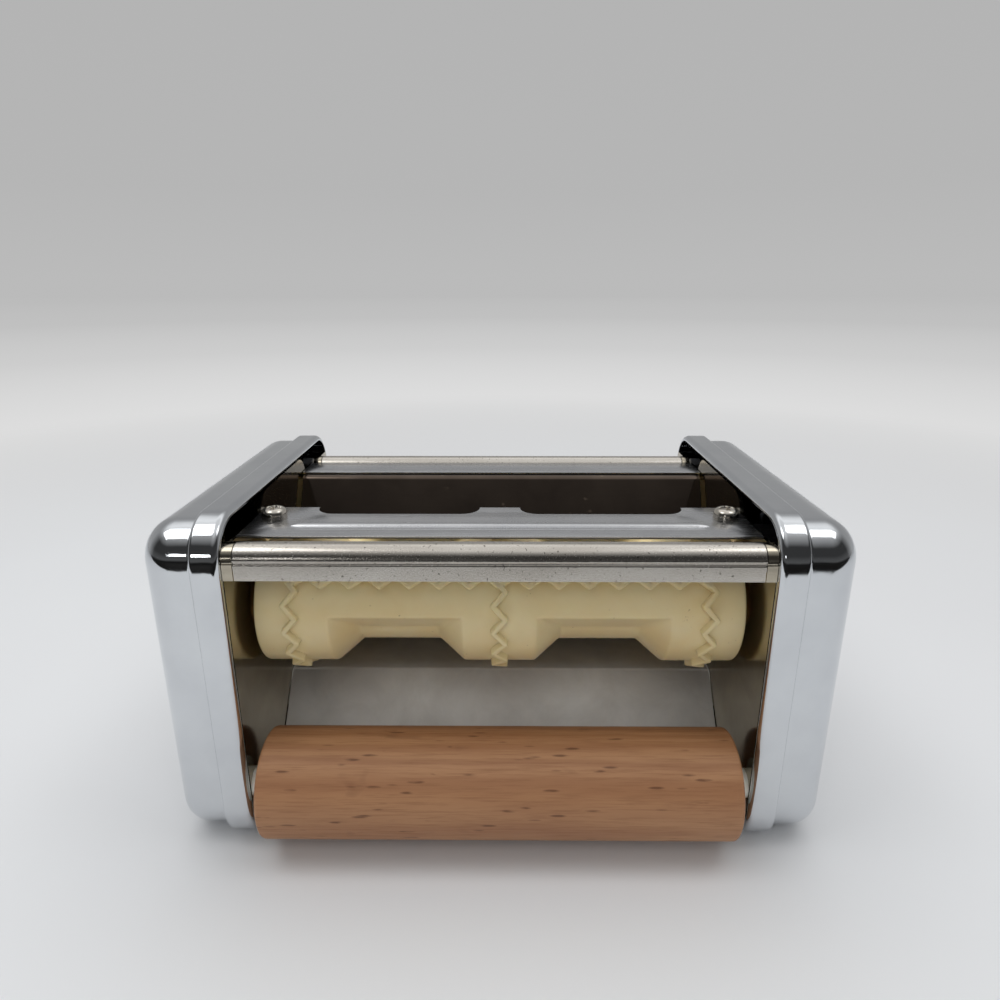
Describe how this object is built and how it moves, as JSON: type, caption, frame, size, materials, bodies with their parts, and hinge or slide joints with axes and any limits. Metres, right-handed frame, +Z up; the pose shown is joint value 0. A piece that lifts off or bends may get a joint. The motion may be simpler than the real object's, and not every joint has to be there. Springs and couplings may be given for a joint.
{
  "type": "ravioli roller attachment",
  "caption": "Ravioli roller unit with chromed end covers, geared ivory pocket rollers, a sloping chute and a free-turning wooden outlet roller, driven through a crank socket.",
  "frame": {"origin": "on the table under the middle of the whole machine, so at the centre of the underside of its bounding box", "axes": "+X along the rollers to the crank side, +Y from the outlet to the back, +Z up"},
  "size_m": [0.2086, 0.136, 0.1105],
  "materials": {
    "chrome_shell": "bright chromed plastic",
    "plate_steel": "bright rolled sheet, nearly mirror",
    "rail_nickel": "satin nickel-plated sheet",
    "table_steel": "fine satin sheet",
    "guide_steel": "bright rolled sheet with faint marks",
    "chute_steel": "bright rolled sheet",
    "screw_steel": "bright plated screws",
    "ivory_plastic": "satin moulded ivory plastic",
    "shaft_steel": "turned steel",
    "gear_steel": "sintered steel",
    "bush_bronze": "sintered bronze",
    "zinc_fixings": "zinc-plated rods and nuts",
    "beech": "sanded beech",
    "nylon": "natural nylon"
  },
  "bodies": {
    "frame": {"left_cover": "chrome_shell", "right_cover": "chrome_shell", "left_side_plate": "plate_steel", "right_side_plate": "plate_steel", "front_rail": "rail_nickel", "rear_rail": "rail_nickel", "front_table": "table_steel", "rear_table": "table_steel", "table_screws": "screw_steel", "guide_plate": "guide_steel", "discharge_chute": "chute_steel", "front_shaft_bushes": "bush_bronze", "rear_shaft_bushes": "bush_bronze", "tie_rods": "zinc_fixings", "tie_rod_nuts": "zinc_fixings", "cover_screws": "zinc_fixings", "wood_roller_axle": "shaft_steel", "axle_spacers": "nylon", "axle_nuts": "zinc_fixings"},
    "front_roller_body": {"front_roller": "ivory_plastic", "front_roller_shaft": "shaft_steel", "front_drive_pins": "shaft_steel", "front_gear": "gear_steel", "front_shaft_clips": "zinc_fixings"},
    "rear_roller_body": {"rear_roller": "ivory_plastic", "rear_roller_shaft": "shaft_steel", "rear_drive_pins": "shaft_steel", "rear_gear": "gear_steel", "rear_shaft_clips": "zinc_fixings"},
    "wood_roller_body": {"wood_roller": "beech", "wood_roller_bushes": "nylon"}
  },
  "joints": [
    {"name": "front_roller_spin", "type": "hinge", "parent": "frame", "child": "front_roller_body", "pos_m": [0, -0.0243, 0.073], "axis": [1, 0, 0], "continuous": true},
    {"name": "rear_roller_spin", "type": "hinge", "parent": "frame", "child": "rear_roller_body", "pos_m": [0, 0.01975, 0.0612], "axis": [1, 0, 0], "continuous": true},
    {"name": "wood_roller_spin", "type": "hinge", "parent": "frame", "child": "wood_roller_body", "pos_m": [0, -0.051, 0.0206], "axis": [1, 0, 0], "continuous": true}
  ],
  "couplings": [
    {"joint": "rear_roller_spin", "follows": "front_roller_spin", "ratio": -1}
  ]
}
